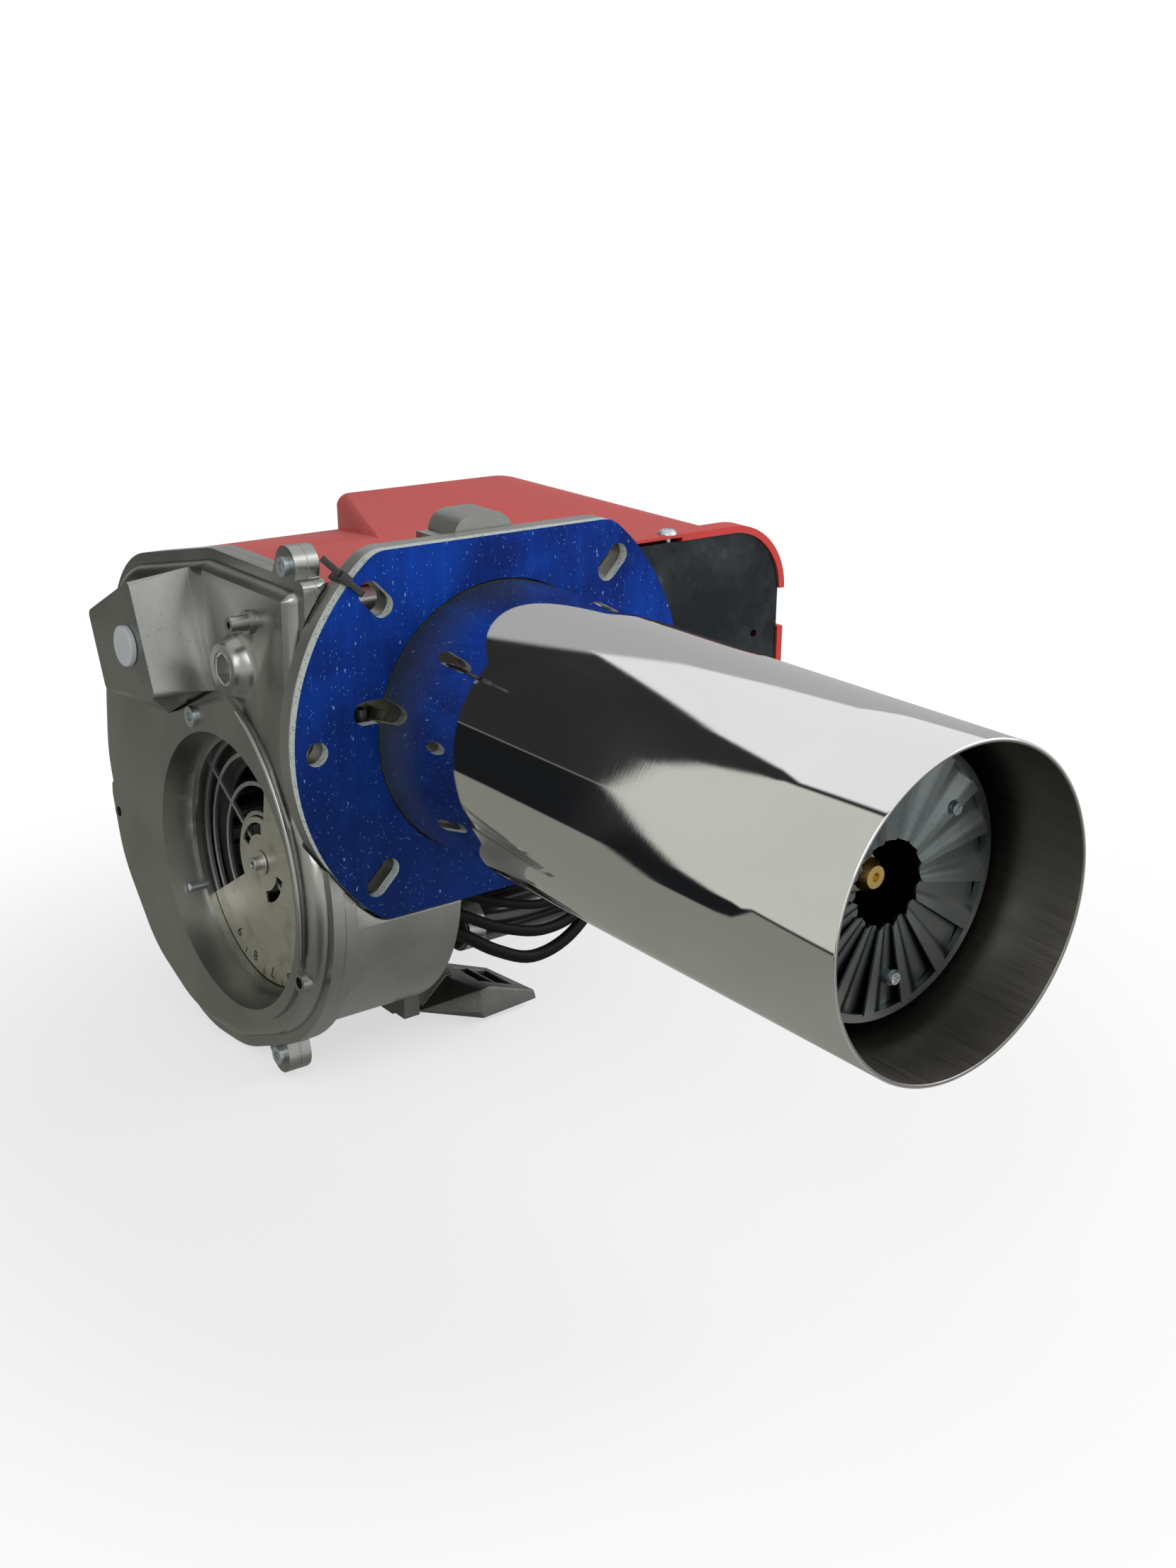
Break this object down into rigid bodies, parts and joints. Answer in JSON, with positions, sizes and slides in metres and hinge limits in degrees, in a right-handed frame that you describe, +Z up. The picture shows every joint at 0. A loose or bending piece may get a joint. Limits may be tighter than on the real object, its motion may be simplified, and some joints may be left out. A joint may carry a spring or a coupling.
{
  "type": "oil burner",
  "caption": "Forced-draught oil burner with a red cover, cast fan housing, long blast tube and sliding boiler flange.",
  "frame": {"origin": "on the blast tube's axis, in the plane of the flange's boiler face with the flange fully back", "axes": "-Y along the blast tube towards the boiler, +Z up, +X along the motor shaft away from the air inlet"},
  "size_m": [0.414, 0.64, 0.3385],
  "materials": {
    "cast": "satin",
    "steel": "brushed",
    "zinc": "satin",
    "polished": "polished",
    "cover_red": "gloss",
    "film_blue": "glossy film",
    "gasket": "pressed fibre",
    "black_plastic": "matte",
    "black_paint": "semi-gloss",
    "cable_black": "satin",
    "clear_plastic": "translucent",
    "brass": "machined",
    "copper": "drawn tube",
    "porcelain": "glazed",
    "winding": "lacquered",
    "coupling": "moulded",
    "button_red": "gloss",
    "galvanised": "galvanised"
  },
  "bodies": {
    "burner": {"housing_left": "cast", "housing_right": "cast", "air_duct": "cast", "collar": "cast", "housing_screws": "zinc", "blanking_plug": "clear_plastic", "hex_plug": "zinc", "index_pin": "zinc", "intake_grille": "zinc", "damper_screw": "zinc", "blast_tube": "polished", "motor_stator": "winding", "motor_frame": "black_paint", "front_shield": "cast", "rear_shield": "cast", "motor_bearings": "steel", "capacitor": "black_plastic", "capacitor_clip": "steel", "motor_cables": "cable_black", "pump_bracket": "cast", "fuel_pump": "zinc", "oil_nipples": "brass", "solenoid_valve": "black_plastic", "copper_pipe": "copper", "line_gland": "steel", "photocell": "black_plastic", "equipment_tray": "galvanised", "control_box": "black_plastic", "ignition_transformer": "black_plastic", "cover": "cover_red", "cover_screws": "steel", "front_plate": "galvanised", "foot": "cast", "pump_filter_cap": "black_paint"},
    "flange": {"flange_plate": "cast", "flange_gasket": "gasket", "flange_film": "film_blue", "clamp_screw": "black_paint", "cable_tie": "black_plastic"},
    "head": {"diffuser": "zinc", "diffuser_screws": "zinc", "diffuser_carrier": "steel", "nozzle": "brass", "nozzle_holder": "brass", "oil_line": "steel", "electrodes": "steel", "electrode_insulators": "porcelain"},
    "rotor": {"fan_wheel": "cast", "wheel_screw": "zinc", "motor_shaft": "steel", "motor_rotor": "steel", "shaft_coupling": "coupling"},
    "damper": {"air_damper": "steel"},
    "button": {"reset_button": "button_red"}
  },
  "joints": [
    {"name": "flange_slide", "type": "slide", "parent": "burner", "child": "flange", "axis": [0, -1, 0], "range_m": [0, 0.12]},
    {"name": "head_adjust", "type": "slide", "parent": "burner", "child": "head", "axis": [0, -1, 0], "range_m": [-0.006, 0.006]},
    {"name": "fan_spin", "type": "hinge", "parent": "burner", "child": "rotor", "pos_m": [0, 0.105, -0.1], "axis": [1, 0, 0], "continuous": true},
    {"name": "damper_turn", "type": "hinge", "parent": "burner", "child": "damper", "pos_m": [0, 0.105, -0.1], "axis": [1, 0, 0], "range_deg": [0, 130]},
    {"name": "reset_press", "type": "slide", "parent": "burner", "child": "button", "axis": [0, -1, 0], "range_m": [0, 0.0025], "stiffness_N_per_m": 600}
  ]
}
